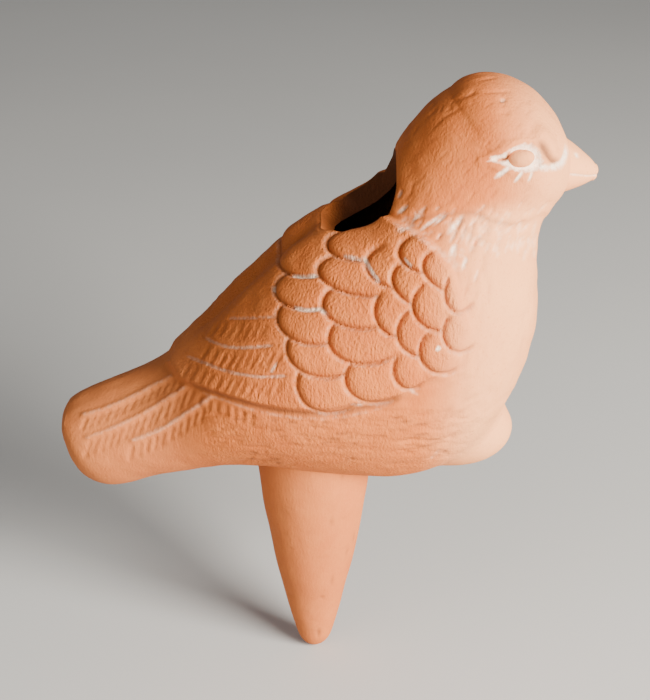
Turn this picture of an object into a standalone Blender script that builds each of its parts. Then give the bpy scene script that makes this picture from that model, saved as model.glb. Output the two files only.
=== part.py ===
"""A bird-shaped terracotta watering spike, as the clay pieces that were joined before firing.

The hollow body is two shell halves that meet on the bird's mid-plane. The beak, two eye pellets,
the lump of a foot under the breast and the hollow soil spike are joined on to it. Water goes in
through the opening behind the neck, fills the body and the spike, and seeps out through the clay.

Frame: the origin is on the spike's axis at the soil line, level with the belly. +Z is up along
the spike, +X points to the beak, and -Y is the bird's right side. Sizes are in millimetres until
they become mesh coordinates.
"""
import math

import bmesh
import bpy
import numpy as np
from mathutils import Matrix, Vector

MM = 0.001

# Clay thickness and the gap left where two pieces meet
BODY_WALL = 4.0
SPIKE_WALL = 3.6
JOINT_GAP = 0.3

# The body's ribs, from the end of the tail to the face. Each one is an ellipse that runs from a
# point of the back to a point of the belly: back x, back z, belly x, belly z, half width. The
# surface follows them as a B-spline does, so it passes close by the ribs between the two end ones.
RIBS = (
    (-56.6, 15.0, -57.6, 6.5, 7.0),
    (-55.0, 16.5, -54.8, -2.5, 10.5),
    (-46.0, 20.5, -47.0, -6.0, 13.0),
    (-37.5, 23.0, -38.0, -2.0, 14.5),
    (-29.5, 29.0, -29.0, 0.0, 17.0),
    (-21.5, 38.0, -20.0, 2.5, 22.0),
    (-13.0, 46.5, -9.5, 2.5, 26.0),
    (-4.5, 55.0, 3.0, 0.5, 28.5),
    (4.5, 61.5, 15.5, -1.0, 29.0),
    (12.0, 66.0, 28.5, 0.5, 29.0),
    (15.5, 72.0, 39.2, 8.5, 28.0),
    (18.0, 75.5, 46.9, 22.5, 26.0),
    (20.0, 79.0, 50.6, 36.5, 23.0),
    (22.5, 82.5, 49.7, 50.0, 20.0),
    (25.5, 86.0, 48.8, 59.5, 18.5),
    (29.5, 88.5, 52.5, 65.5, 18.0),
)
TAIL_END = (-58.2, 10.8)        # the tail's outermost point, x and z
CROWN_RISE = 12.4               # how far the crown stands above the last rib
CROWN_LEAN = 0.8                # and how far its top leans towards the back
CROWN_ANGLES = (18, 35, 50, 64, 77)
RIB_STEPS = 3                   # rings from one rib to the next
HALF_SEGMENTS = 16              # facets from the back to the belly, on one side
CAVITY_START = 1.6              # the cavity starts this many ribs in from the tail's end
CAVITY_END_GAP = 1.5            # and its end stands this far out from its first ring

# The folded wings stand proud of the flanks, and meet along a shallow valley on the back
TILT = math.radians(25)         # the plane that the wing is drawn on leans back by this much
WING_LIFT = 1.3
WING_EDGE = 2.0                 # width of the step at the wing's edge
WING_OUTLINE = (                # x, and the height on the tilted plane
    (-33.0, 23.0), (-29.5, 19.0), (-22.5, 16.5), (-14.0, 14.0), (-5.5, 12.5), (1.5, 12.5),
    (8.0, 13.5), (18.5, 15.5), (27.5, 20.5), (32.5, 30.0), (28.5, 42.5), (23.5, 48.5),
    (17.5, 52.0), (10.0, 58.0), (4.0, 60.0), (-14.0, 46.0), (-31.0, 30.0),
)
VALLEY_DEPTH = 1.8
VALLEY_WIDTH = 5.0
VALLEY_X = (-30.0, 6.0)

# The filling opening behind the neck: half of its outline on a plane that faces up and back
OPENING_CENTRE = (11.0, 66.0)   # x and z, on the mid-plane
OPENING_SLOPE = math.radians(38)
OPENING_OUTLINE = ((-11.3, 0.0), (-11.0, 8.0), (2.4, 15.8), (8.0, 12.2), (10.2, 5.2), (10.6, 0.0))
OPENING_CONE = 60.0             # the cut narrows to a point this far inside
OPENING_REACH = 14.0            # how far the cutter stands out, and reaches in

# The soil spike, turned about Z
SPIKE_RADIUS = 13.2             # at the soil line
SPIKE_TAPER = 0.105             # radius lost for each mm down
SPIKE_BELLY = 0.0018            # and more for each mm squared, so that the sides are full
SPIKE_LENGTH = 51.5
SPIKE_TIP_RADIUS = 4.3
SPIKE_ROOT = 9.0                # how far its blank reaches up into the body before it is coped
BELLY_HOLE_RADIUS = 8.2

# The beak, turned about X and then dropped a little: distance along it and radius
BEAK_ROOT = (49.6, 72.7)
BEAK_DROOP = math.radians(10)
BEAK_PROFILE = ((0.0, 7.6), (3.0, 6.7), (5.5, 5.6), (8.0, 4.2), (10.0, 3.0), (11.3, 1.9))
BEAK_TIP = 12.2

EYE_CENTRE = (43.0, 16.8, 79.5)
EYE_SIZE = (2.7, 1.5, 1.9)      # half lengths along, out and up
EYE_PITCH = math.radians(-6)

FOOT_CENTRE = (35.5, 0.0, 7.8)
FOOT_SIZE = (10.5, 8.8, 7.5)
FOOT_PITCH = math.radians(-12)


def clear_scene():
    for thing in list(bpy.data.objects):
        bpy.data.objects.remove(thing, do_unlink=True)


def material(name, colour, roughness):
    clay = bpy.data.materials.new(name)
    clay.use_nodes = True
    shader = clay.node_tree.nodes["Principled BSDF"]
    shader.inputs["Base Color"].default_value = (*colour, 1.0)
    shader.inputs["Roughness"].default_value = roughness
    shader.inputs["Metallic"].default_value = 0.0
    return clay


def add_object(name, mesh, clay=None):
    thing = bpy.data.objects.new(name, mesh)
    bpy.context.scene.collection.objects.link(thing)
    if clay:
        mesh.materials.append(clay)
    return thing


def make_cutter(thing):
    thing.hide_render = True
    thing.display_type = "WIRE"
    return thing


def finish_mesh(name, shape, smooth_angle=None):
    bmesh.ops.recalc_face_normals(shape, faces=shape.faces)
    mesh = bpy.data.meshes.new(name)
    shape.to_mesh(mesh)
    shape.free()
    if smooth_angle is not None:
        mesh.shade_smooth()
        mesh.set_sharp_from_angle(angle=math.radians(smooth_angle))
    return mesh


def cut(thing, cutter, name):
    boolean = thing.modifiers.new(name, "BOOLEAN")
    boolean.operation = "DIFFERENCE"
    boolean.solver = "EXACT"
    boolean.object = cutter


def spline_at(ribs, where):
    """A cubic B-spline guided by the ribs, at a place counted in ribs from the tail's end."""
    last = len(ribs) - 1
    i = min(int(where), last - 1)
    t = where - i
    before = ribs[i - 1] if i else 2 * ribs[0] - ribs[1]
    after = ribs[i + 2] if i + 2 <= last else 2 * ribs[last] - ribs[last - 1]
    return (before * (1 - t) ** 3 + ribs[i] * (3 * t ** 3 - 6 * t * t + 4)
            + ribs[i + 1] * (-3 * t ** 3 + 3 * t * t + 3 * t + 1) + after * t ** 3) / 6


def crown_ribs(last_rib, rise):
    """Ribs of the round crown, which closes the head over the last rib, and its top point."""
    back, belly, half_width = last_rib[0:2], last_rib[2:4], last_rib[4]
    centre, reach = (back + belly) / 2, (back - belly) / 2
    up = np.array((-reach[1], reach[0])) / np.linalg.norm(reach)
    up = up if up[1] > 0 else -up
    top = centre + up * rise + reach / np.linalg.norm(reach) * CROWN_LEAN
    ribs = []
    for degrees in CROWN_ANGLES:
        angle = math.radians(degrees)
        middle = centre + (top - centre) * math.sin(angle)
        half = reach * math.cos(angle)
        ribs.append(np.array((*(middle + half), *(middle - half), half_width * math.cos(angle))))
    return ribs, top


def shell_ribs(inset, start=0.0):
    """All the ribs of a surface that lies inset inside the body, and its two end points."""
    ribs = [np.array(rib) for rib in RIBS]
    count = (len(ribs) - 1) * RIB_STEPS + 1
    rows = []
    for where in np.linspace(start, len(ribs) - 1, count):
        rib = spline_at(ribs, where)
        inward = rib[2:4] - rib[0:2]
        inward = inward / np.linalg.norm(inward) * inset
        rows.append(np.array((*(rib[0:2] + inward), *(rib[2:4] - inward), rib[4] - inset)))
    crown, top = crown_ribs(rows[-1], CROWN_RISE - inset)
    if start:
        end = (rows[0][0:2] + rows[0][2:4]) / 2 - np.array((CAVITY_END_GAP, 0.0))
    else:
        end = np.array(TAIL_END) - np.array((-inset, 0.0))
    return rows + crown, end, top


def outline_depth(points, x, height):
    """How far a place lies inside a closed outline, in mm, and negative outside it."""
    nearest, inside = math.inf, False
    for (ax, ay), (bx, by) in zip(points, points[1:] + points[:1]):
        run = ((x - ax) * (bx - ax) + (height - ay) * (by - ay)) / ((bx - ax) ** 2 + (by - ay) ** 2)
        run = min(max(run, 0.0), 1.0)
        nearest = min(nearest, math.hypot(x - ax - run * (bx - ax), height - ay - run * (by - ay)))
        if (ay > height) != (by > height) and x < (bx - ax) * (height - ay) / (by - ay) + ax:
            inside = not inside
    return nearest if inside else -nearest


def smooth_step(value):
    value = min(max(value, 0.0), 1.0)
    return value * value * (3 - 2 * value)


def feather_lift(x, y, z, on_back):
    """How far the surface stands out at a place, for the wings and the valley between them."""
    height = z * math.cos(TILT) - abs(y) * math.sin(TILT)
    lift = WING_LIFT * smooth_step(outline_depth(WING_OUTLINE, x, height) / WING_EDGE + 0.5)
    if on_back:
        ends = smooth_step((x - VALLEY_X[0]) / 8) * smooth_step((VALLEY_X[1] - x) / 8)
        lift -= VALLEY_DEPTH * ends * math.exp(-((y / VALLEY_WIDTH) ** 2))
    return lift


def rib_points(rib, side, segments, lifted):
    """Points along one rib, from the back to the belly, round one side of the bird."""
    middle = Vector(((rib[0] + rib[2]) / 2, 0.0, (rib[1] + rib[3]) / 2))
    reach = Vector(((rib[0] - rib[2]) / 2, 0.0, (rib[1] - rib[3]) / 2))
    points = []
    for i in range(segments + 1):
        angle = math.pi * i / segments
        out = reach * math.cos(angle) + Vector((0.0, side * rib[4] * math.sin(angle), 0.0))
        if i in (0, segments):
            out.y = 0.0
        if lifted:
            place = middle + out
            out += out.normalized() * feather_lift(*place, i < segments / 2)
        points.append((middle + out) * MM)
    return points


def skin_half(shape, side, inset, start, lifted):
    """One side of a shell surface. Returns its points in rows, and its two end points."""
    ribs, end, top = shell_ribs(inset, start)
    rows = [[shape.verts.new(point) for point in rib_points(rib, side, HALF_SEGMENTS, lifted)]
            for rib in ribs]
    first = shape.verts.new(Vector((end[0], 0.0, end[1])) * MM)
    last = shape.verts.new(Vector((top[0], 0.0, top[1])) * MM)
    for here, there in zip(rows, rows[1:]):
        for i in range(HALF_SEGMENTS):
            shape.faces.new((here[i], here[i + 1], there[i + 1], there[i]))
    for i in range(HALF_SEGMENTS):
        shape.faces.new((first, rows[0][i + 1], rows[0][i]))
        shape.faces.new((last, rows[-1][i], rows[-1][i + 1]))
    return rows, first, last


def half_shell_mesh(name, side):
    """One half of the hollow body: outer skin, inner skin and the flat joint face between."""
    shape = bmesh.new()
    outer, outer_end, outer_top = skin_half(shape, side, 0.0, 0.0, True)
    inner, inner_end, inner_top = skin_half(shape, side, BODY_WALL, CAVITY_START, False)
    for edge in (0, HALF_SEGMENTS):
        outer_line = [outer_end] + [row[edge] for row in outer] + [outer_top]
        inner_line = [inner_end] + [row[edge] for row in inner] + [inner_top]
        for i in range(len(outer_line) - 1):
            shape.faces.new((outer_line[i], outer_line[i + 1], inner_line[i + 1], inner_line[i]))
    return finish_mesh(name, shape, smooth_angle=50)


def body_form():
    """The solid outer form of the body, grown by the joint gap, that the joined pieces are coped to."""
    shape = bmesh.new()
    right, right_end, right_top = skin_half(shape, -1, -JOINT_GAP, 0.0, True)
    left, left_end, left_top = skin_half(shape, 1, -JOINT_GAP, 0.0, True)
    pairs = [(right_end, left_end), (right_top, left_top)]
    for here, there in zip(right, left):
        pairs += [(here[0], there[0]), (here[-1], there[-1])]
    bmesh.ops.weld_verts(shape, targetmap={b: a for a, b in pairs})
    return make_cutter(add_object("body_form", finish_mesh("body_form", shape)))


def rounded(points, rounds=2):
    """Cuts the corners of an open line, which keeps its two ends."""
    for _ in range(rounds):
        line = [points[0]]
        for (ax, ay), (bx, by) in zip(points, points[1:]):
            line += [(ax * 0.75 + bx * 0.25, ay * 0.75 + by * 0.25),
                     (ax * 0.25 + bx * 0.75, ay * 0.25 + by * 0.75)]
        points = line + [points[-1]]
    return points


def opening_cutter():
    """A tapered plug, cut square to the clay as a knife cuts it."""
    half = rounded(OPENING_OUTLINE)
    outline = half + [(along, -across) for along, across in reversed(half[1:-1])]
    shape = bmesh.new()
    loops = []
    for height in (OPENING_REACH, -OPENING_REACH):
        scale = 1 + height / OPENING_CONE
        loops.append([shape.verts.new(Vector((s * scale, t * scale, height)) * MM) for s, t in outline])
    count = len(outline)
    for i in range(count):
        j = (i + 1) % count
        shape.faces.new((loops[0][i], loops[0][j], loops[1][j], loops[1][i]))
    for loop in loops:
        shape.faces.new(loop)
    plug = make_cutter(add_object("opening_plug", finish_mesh("opening_plug", shape)))
    plug.location = Vector((OPENING_CENTRE[0], 0.0, OPENING_CENTRE[1])) * MM
    plug.rotation_euler = (0.0, -OPENING_SLOPE, 0.0)
    return plug


def cylinder_cutter(name, radius, low, high):
    shape = bmesh.new()
    middle = Matrix.Translation(Vector((0.0, 0.0, (low + high) / 2)) * MM)
    bmesh.ops.create_cone(shape, cap_ends=True, segments=32, radius1=radius * MM, radius2=radius * MM,
                          depth=(high - low) * MM, matrix=middle)
    return make_cutter(add_object(name, finish_mesh(name, shape)))


def turned_object(name, profile, clay, steps=32):
    """A solid turned about Z from a profile of (radius, height) that runs from top to bottom."""
    shape = bmesh.new()
    line = [shape.verts.new(Vector((radius, 0.0, height)) * MM) for radius, height in profile]
    for a, b in zip(line, line[1:]):
        shape.edges.new((a, b))
    mesh = bpy.data.meshes.new(name)
    shape.to_mesh(mesh)
    shape.free()
    thing = add_object(name, mesh, clay)
    screw = thing.modifiers.new("turn", "SCREW")
    screw.axis = "Z"
    screw.steps = screw.render_steps = steps
    screw.use_merge_vertices = True
    screw.merge_threshold = 0.00001
    screw.use_smooth_shade = True
    return thing


def spike_radius(depth):
    return SPIKE_RADIUS - SPIKE_TAPER * depth - SPIKE_BELLY * depth * abs(depth)


def spike_profile():
    """Down the outside, round the tip, and back up the bore, which stays open at the top."""
    shoulder = SPIKE_LENGTH - SPIKE_TIP_RADIUS
    outside = [(spike_radius(depth), -depth) for depth in np.linspace(-SPIKE_ROOT, shoulder, 12)]
    tip = [(spike_radius(shoulder) * math.cos(angle), -shoulder - SPIKE_TIP_RADIUS * math.sin(angle))
           for angle in np.radians((25, 50, 72))]
    bore_end = shoulder - SPIKE_WALL
    bore = [(max(spike_radius(depth) - SPIKE_WALL, 0.8), -depth)
            for depth in np.linspace(bore_end, -SPIKE_ROOT, 9)]
    return outside + tip + [(0.0, -SPIKE_LENGTH), (0.0, -bore_end)] + bore


def make_spike(form, clay):
    profile = spike_profile()
    bore_bottom = next(i for i, point in enumerate(profile) if i and point[0] == 0.0)
    line = profile[:bore_bottom + 1]
    spike = turned_object("soil_spike", line + profile[bore_bottom + 1:] + [line[0]], clay)
    cut(spike, form, "cope to the belly")
    return spike


def make_beak(form, clay):
    profile = [(0.0, BEAK_TIP)] + [(radius, along) for along, radius in reversed(BEAK_PROFILE)]
    beak = turned_object("beak", [*profile, (0.0, 0.0)], clay, steps=28)
    beak.location = Vector((BEAK_ROOT[0], 0.0, BEAK_ROOT[1])) * MM
    beak.rotation_euler = (0.0, math.pi / 2 + BEAK_DROOP, 0.0)
    cut(beak, form, "cope to the face")
    return beak


def make_pellet(name, centre, size, pitch, form, clay, segments=24):
    shape = bmesh.new()
    scale = Matrix.Diagonal((*size, 1.0 / MM)) * MM
    bmesh.ops.create_uvsphere(shape, u_segments=segments, v_segments=segments // 2, radius=1.0,
                              matrix=scale)
    pellet = add_object(name, finish_mesh(name, shape, smooth_angle=50), clay)
    pellet.location = Vector(centre) * MM
    pellet.rotation_euler = (0.0, pitch, 0.0)
    cut(pellet, form, "cope to the body")
    return pellet


def make_body_halves(clay):
    opening = opening_cutter()
    drain = cylinder_cutter("belly_hole", BELLY_HOLE_RADIUS, -SPIKE_ROOT, BODY_WALL * 2.5)
    for name, side in (("right_body_half", -1), ("left_body_half", 1)):
        half = add_object(name, half_shell_mesh(name, side), clay)
        half.location = (0.0, side * JOINT_GAP / 2 * MM, 0.0)
        cut(half, opening, "filling opening")
        cut(half, drain, "hole into the spike")


def main():
    clear_scene()
    body_clay = material("body_terracotta", (0.62, 0.27, 0.14), 0.85)
    spike_clay = material("spike_terracotta", (0.60, 0.26, 0.14), 0.88)
    beak_clay = material("beak_terracotta", (0.66, 0.31, 0.17), 0.82)
    eye_clay = material("eye_terracotta", (0.60, 0.28, 0.13), 0.80)
    foot_clay = material("foot_terracotta", (0.64, 0.29, 0.16), 0.85)
    form = body_form()
    make_body_halves(body_clay)
    make_spike(form, spike_clay)
    make_beak(form, beak_clay)
    along, out, up = EYE_CENTRE
    make_pellet("right_eye", (along, -out, up), EYE_SIZE, EYE_PITCH, form, eye_clay)
    make_pellet("left_eye", (along, out, up), EYE_SIZE, EYE_PITCH, form, eye_clay)
    make_pellet("front_foot", FOOT_CENTRE, FOOT_SIZE, FOOT_PITCH, form, foot_clay)


main()
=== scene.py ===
"""Looks of the bird-shaped terracotta watering spike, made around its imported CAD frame.

The body's skin follows the same ribs as the CAD body, on a fine grid, and the feathers are carved
into it as real relief. What is carved is drawn in millimetres on a plane that leans back by TILT:
x runs along the bird, and q up the leaning plane. The left side mirrors the right side.
"""

import math
from contextlib import contextmanager

import bmesh
import bpy
import numpy as np
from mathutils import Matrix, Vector


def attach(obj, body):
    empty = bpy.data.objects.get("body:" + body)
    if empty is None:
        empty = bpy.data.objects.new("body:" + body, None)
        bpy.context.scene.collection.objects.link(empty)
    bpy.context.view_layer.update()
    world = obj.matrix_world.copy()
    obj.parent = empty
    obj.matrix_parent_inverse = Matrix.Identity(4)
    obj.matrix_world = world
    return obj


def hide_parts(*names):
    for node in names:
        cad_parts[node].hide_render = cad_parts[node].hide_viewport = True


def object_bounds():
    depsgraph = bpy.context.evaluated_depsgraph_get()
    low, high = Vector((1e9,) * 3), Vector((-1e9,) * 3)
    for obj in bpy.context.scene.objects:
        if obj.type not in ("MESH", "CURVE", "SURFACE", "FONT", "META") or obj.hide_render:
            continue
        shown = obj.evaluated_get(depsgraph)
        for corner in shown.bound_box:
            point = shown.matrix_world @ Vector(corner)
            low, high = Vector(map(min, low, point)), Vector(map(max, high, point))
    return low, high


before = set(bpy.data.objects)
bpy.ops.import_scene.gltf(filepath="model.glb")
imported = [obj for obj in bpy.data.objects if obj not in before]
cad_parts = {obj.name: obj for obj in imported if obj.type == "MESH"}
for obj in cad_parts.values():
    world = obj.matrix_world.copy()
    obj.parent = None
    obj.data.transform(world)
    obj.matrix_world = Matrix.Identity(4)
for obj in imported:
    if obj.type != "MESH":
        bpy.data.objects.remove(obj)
cad_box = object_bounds()

MM = 0.001
TILT = math.radians(25)

# The body's form, as in the CAD body. A rib is back x, back z, belly x, belly z, half width.
RIBS = np.array((
    (-56.6, 15.0, -57.6, 6.5, 7.0),
    (-55.0, 16.5, -54.8, -2.5, 10.5),
    (-46.0, 20.5, -47.0, -6.0, 13.0),
    (-37.5, 23.0, -38.0, -2.0, 14.5),
    (-29.5, 29.0, -29.0, 0.0, 17.0),
    (-21.5, 38.0, -20.0, 2.5, 22.0),
    (-13.0, 46.5, -9.5, 2.5, 26.0),
    (-4.5, 55.0, 3.0, 0.5, 28.5),
    (4.5, 61.5, 15.5, -1.0, 29.0),
    (12.0, 66.0, 28.5, 0.5, 29.0),
    (15.5, 72.0, 39.2, 8.5, 28.0),
    (18.0, 75.5, 46.9, 22.5, 26.0),
    (20.0, 79.0, 50.6, 36.5, 23.0),
    (22.5, 82.5, 49.7, 50.0, 20.0),
    (25.5, 86.0, 48.8, 59.5, 18.5),
    (29.5, 88.5, 52.5, 65.5, 18.0),
))
TAIL_END = np.array((-58.2, 10.8))
CROWN_RISE = 12.4
CROWN_LEAN = 0.8
WALL = 4.0
CAVITY_START = 1.6              # in ribs from the tail's end
# Rings of the skin from each rib to the next, closest where the feathers and the eye are carved
RINGS = np.array((8, 18, 18, 20, 24, 28, 30, 30, 30, 30, 30, 30, 24, 18, 18))
TAIL_END_RINGS, CROWN_RINGS, FACETS = 14, 46, 230
SIDE_CROWDING = 0.25            # how much closer the facets stand on the side than on the back
CAVITY_RINGS, CAVITY_FACETS = 54, 28

# The folded wing, and the valley between the two wings on the back
WING_LIFT = 1.3
WING_EDGE = 2.0
WING_OUTLINE = (
    (-33.0, 23.0), (-29.5, 19.0), (-22.5, 16.5), (-14.0, 14.0), (-5.5, 12.5), (1.5, 12.5),
    (8.0, 13.5), (18.5, 15.5), (27.5, 20.5), (32.5, 30.0), (28.5, 42.5), (23.5, 48.5),
    (17.5, 52.0), (10.0, 58.0), (4.0, 60.0), (-14.0, 46.0), (-31.0, 30.0),
)
VALLEY_DEPTH = 1.8
VALLEY_WIDTH = 5.0
VALLEY_X = (-30.0, 6.0)

# Covert feathers from the tail side forward, so that each one lies over those before it: middle x
# and q, half length, half height and lean in degrees
COVERTS = (
    (3.7, 18.4, 7.1, 6.4, 1), (3.0, 26.4, 8.6, 6.6, 4), (0.9, 32.6, 8.6, 5.8, 1),
    (0.0, 38.9, 8.3, 4.8, 3), (0.8, 46.3, 8.5, 5.0, 11), (13.6, 19.7, 6.8, 5.5, 4),
    (12.4, 29.1, 9.3, 6.2, 15), (10.0, 35.2, 8.0, 5.1, -1), (10.5, 41.5, 9.5, 4.5, -8),
    (11.1, 48.4, 8.2, 4.1, 2), (18.5, 43.0, 7.4, 4.8, -6), (20.3, 21.1, 3.4, 4.0, 16),
    (17.5, 33.7, 4.6, 5.3, 3), (24.5, 29.7, 7.0, 5.7, 14), (23.8, 39.1, 7.6, 5.1, -19),
    (24.7, 45.6, 6.9, 4.3, -3), (27.2, 25.3, 4.9, 4.8, -12), (27.0, 35.0, 6.3, 5.5, 7),
    (29.6, 41.6, 7.1, 4.4, -19), (31.0, 29.4, 3.8, 4.4, -10), (30.9, 38.0, 3.4, 4.7, -14),
)
COVERT_RISE = 0.62
GROOVE_DEPTH = 0.62
FREE_EDGE = math.radians(222)   # the covert feathers point down and back
COVERT_CRUST = 0.14             # how white the grooves between them are
COVERT_SHADE = 0.5              # and how dark their painted shade is
# White crust left in the grooves between the coverts: a line, its width, and how white it is
CRUST_LINES = (
    (((10.4, 45.6), (11.3, 43.8), (12.6, 41.4), (14.3, 39.2)), 0.42, 1.0),
    (((6.0, 45.5), (8.6, 44.9), (10.8, 44.4)), 0.40, 0.5),
    (((-5.4, 41.6), (-2.0, 41.1), (1.6, 41.4)), 0.42, 0.8),
    (((-5.0, 34.9), (-1.5, 33.9), (1.6, 34.0), (3.8, 32.4)), 0.42, 0.8),
    (((19.2, 45.0), (19.6, 43.8), (20.8, 42.6)), 0.35, 0.6),
    (((-8.8, 39.6), (-8.3, 37.9)), 0.35, 0.6), (((-7.4, 23.4), (-9.0, 20.4)), 0.30, 0.4),
    (((25.6, 26.3), (26.6, 25.7)), 0.5, 0.8), (((7.4, 14.0), (11.0, 13.6)), 0.4, 0.3),
    (((19.6, 17.3), (22.9, 15.9)), 0.4, 0.3),
)
# The breast carries a pale bloom, partly painted highlight where the light falls strongest, from this x
# on, and the face from further forward
BLOOM_AND_HIGHLIGHT_START = 22.0
BLOOM_AND_HIGHLIGHT_LEAN = 13.0
BLOOM_AND_HIGHLIGHT_REACH = 16.0
# The tail and rump carry a trace of it, partly painted light that brightens them, from this x back
TAIL_BLOOM_AND_HIGHLIGHT_START = -20.0
TAIL_BLOOM_AND_HIGHLIGHT = 0.18
# The hand-worked clay is nowhere quite even: height, size and seed of its lumps
LUMPS = ((0.10, 13, 3), (0.035, 4.5, 4))


def smooth_step(value):
    value = np.clip(value, 0.0, 1.0)
    return value * value * (3 - 2 * value)


def line_points(points, steps=6):
    """A Catmull-Rom curve through a few points."""
    guide = np.array(points, float)
    guide = np.vstack([2 * guide[0] - guide[1], guide, 2 * guide[-1] - guide[-2]])
    t = np.linspace(0, 1, steps, endpoint=False)[:, None]
    parts = []
    for before, a, b, after in zip(guide, guide[1:], guide[2:], guide[3:]):
        parts.append(0.5 * (2 * a + (b - before) * t + (2 * before - 5 * a + 4 * b - after) * t * t
                            + (3 * a - before - 3 * b + after) * t ** 3))
    return np.vstack([*parts, guide[-2:-1]])


def distance_to_line(x, q, points):
    """Distance from each place to an open line, and how far along the line it is, from 0 to 1."""
    points = np.asarray(points, float)
    lengths = np.hypot(*np.diff(points, axis=0).T)
    starts = np.concatenate([[0.0], np.cumsum(lengths)])
    nearest = np.full(x.shape, np.inf)
    along = np.zeros(x.shape)
    for (ax, aq), (bx, bq), start, length in zip(points, points[1:], starts, lengths):
        run = ((x - ax) * (bx - ax) + (q - aq) * (bq - aq)) / length ** 2
        run = np.clip(run, 0.0, 1.0)
        away = np.hypot(x - ax - run * (bx - ax), q - aq - run * (bq - aq))
        closer = away < nearest
        nearest = np.where(closer, away, nearest)
        along = np.where(closer, (start + run * length) / starts[-1], along)
    return nearest, along


def depth_inside(x, q, outline):
    """How far each place lies inside a closed outline, and negative outside it."""
    closed = np.array([*outline, outline[0]], float)
    away, _ = distance_to_line(x, q, closed)
    inside = np.zeros(x.shape, bool)
    for (ax, aq), (bx, bq) in zip(closed, closed[1:]):
        if aq != bq:
            inside ^= ((aq > q) != (bq > q)) & (x < (bx - ax) * (q - aq) / (bq - aq) + ax)
    return np.where(inside, away, -away)


def unevenness(place, size, seed):
    """A smooth random field of about unit height, with lumps of about the given size in mm."""
    chance = np.random.default_rng(seed)
    total = np.zeros(place.shape[:-1])
    for _ in range(9):
        wave = chance.normal(size=3)
        wave *= 2 * math.pi / size / np.linalg.norm(wave) * chance.uniform(0.6, 1.5)
        total += np.sin(place @ wave + chance.uniform(0, 2 * math.pi))
    return total / 3


class Carving:
    """Relief over a set of places: how far the clay stands out, the white crust in its grooves, and the
    painted shade there.
    """

    def __init__(self, place):
        self.place = place
        self.x = place[..., 0]
        self.q = place[..., 2] * math.cos(TILT) - np.abs(place[..., 1]) * math.sin(TILT)
        self.height = np.zeros(self.x.shape)
        self.white = np.zeros(self.x.shape)
        self.dark = np.zeros(self.x.shape)

    def near(self, points, reach):
        low, high = np.min(points, axis=0) - reach, np.max(points, axis=0) + reach
        return (self.x > low[0]) & (self.x < high[0]) & (self.q > low[1]) & (self.q < high[1])

    def press(self, near, section, depth, white, dark):
        """Sinks a section into the clay, with crust and painted shade in it."""
        self.height[near] -= depth * section
        self.white[near] = np.maximum(self.white[near], white * section)
        self.dark[near] = np.maximum(self.dark[near], dark * section)

    def groove(self, points, width, depth, white=0.0, dark=0.0, taper=0.25):
        """A rounded groove along a line, which runs out at both ends. Negative depth is a ridge."""
        near = self.near(points, 3 * width)
        away, along = distance_to_line(self.x[near], self.q[near], points)
        section = np.exp(-((away / width) ** 2))
        section *= smooth_step(along / taper) * smooth_step((1 - along) / taper)
        self.press(near, section, depth, white, dark)

    def pit(self, x, q, radius, depth, white=0.0, dark=0.5):
        near = self.near([(x, q)], 3 * radius)
        section = np.exp(-((self.x[near] - x) ** 2 + (self.q[near] - q) ** 2) / radius ** 2)
        self.press(near, section, depth, white, dark)

    def strokes(self, chance, count, box, length, angle, width, depth, white, dark, keep=None):
        """Short tool strokes at random places in a box of (low x, low q, high x, high q)."""
        for _ in range(count):
            x, q = chance.uniform(box[0], box[2]), chance.uniform(box[1], box[3])
            run, turn = chance.uniform(*length), math.radians(chance.uniform(*angle))
            thick, deep = width * chance.uniform(0.7, 1.3), depth * chance.uniform(0.4, 1.3)
            if keep and not keep(x, q):
                continue
            ahead = np.array((math.cos(turn), math.sin(turn))) * run / 2
            side = np.array((-ahead[1], ahead[0])) * chance.uniform(-0.05, 0.05)
            middle = np.array((x, q))
            self.groove([middle - ahead, middle + side, middle + ahead], thick, deep, white, dark, 0.4)

    def barbs(self, chance, line, start, stop, spacing, length, angle, gap, width, depth):
        """Strokes that hang below a line by a gap, and lean to it, from one x to another."""
        guide = line_points(line)
        x = start
        while x < stop:
            top = np.array((x, np.interp(x, guide[:, 0], guide[:, 1]) - gap))
            turn = math.radians(angle + chance.uniform(-2, 2))
            run = np.array((math.cos(turn), math.sin(turn))) * length * chance.uniform(0.9, 1.05)
            # Each barb's groove carries a little painted shade
            self.groove([top - run, top], width * chance.uniform(0.9, 1.1),
                        depth * chance.uniform(0.85, 1.15), dark=0.06, taper=0.3)
            x += spacing * chance.uniform(0.9, 1.1)


def carve_wing(clay, on_back):
    """The step round the folded wing, and the valley between the wings."""
    lift = WING_LIFT * smooth_step(depth_inside(clay.x, clay.q, WING_OUTLINE) / WING_EDGE + 0.5)
    ends = smooth_step((clay.x - VALLEY_X[0]) / 8) * smooth_step((VALLEY_X[1] - clay.x) / 8)
    valley = VALLEY_DEPTH * ends * np.exp(-((clay.place[..., 1] / VALLEY_WIDTH) ** 2))
    return lift - np.where(on_back, valley, 0.0)


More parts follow.
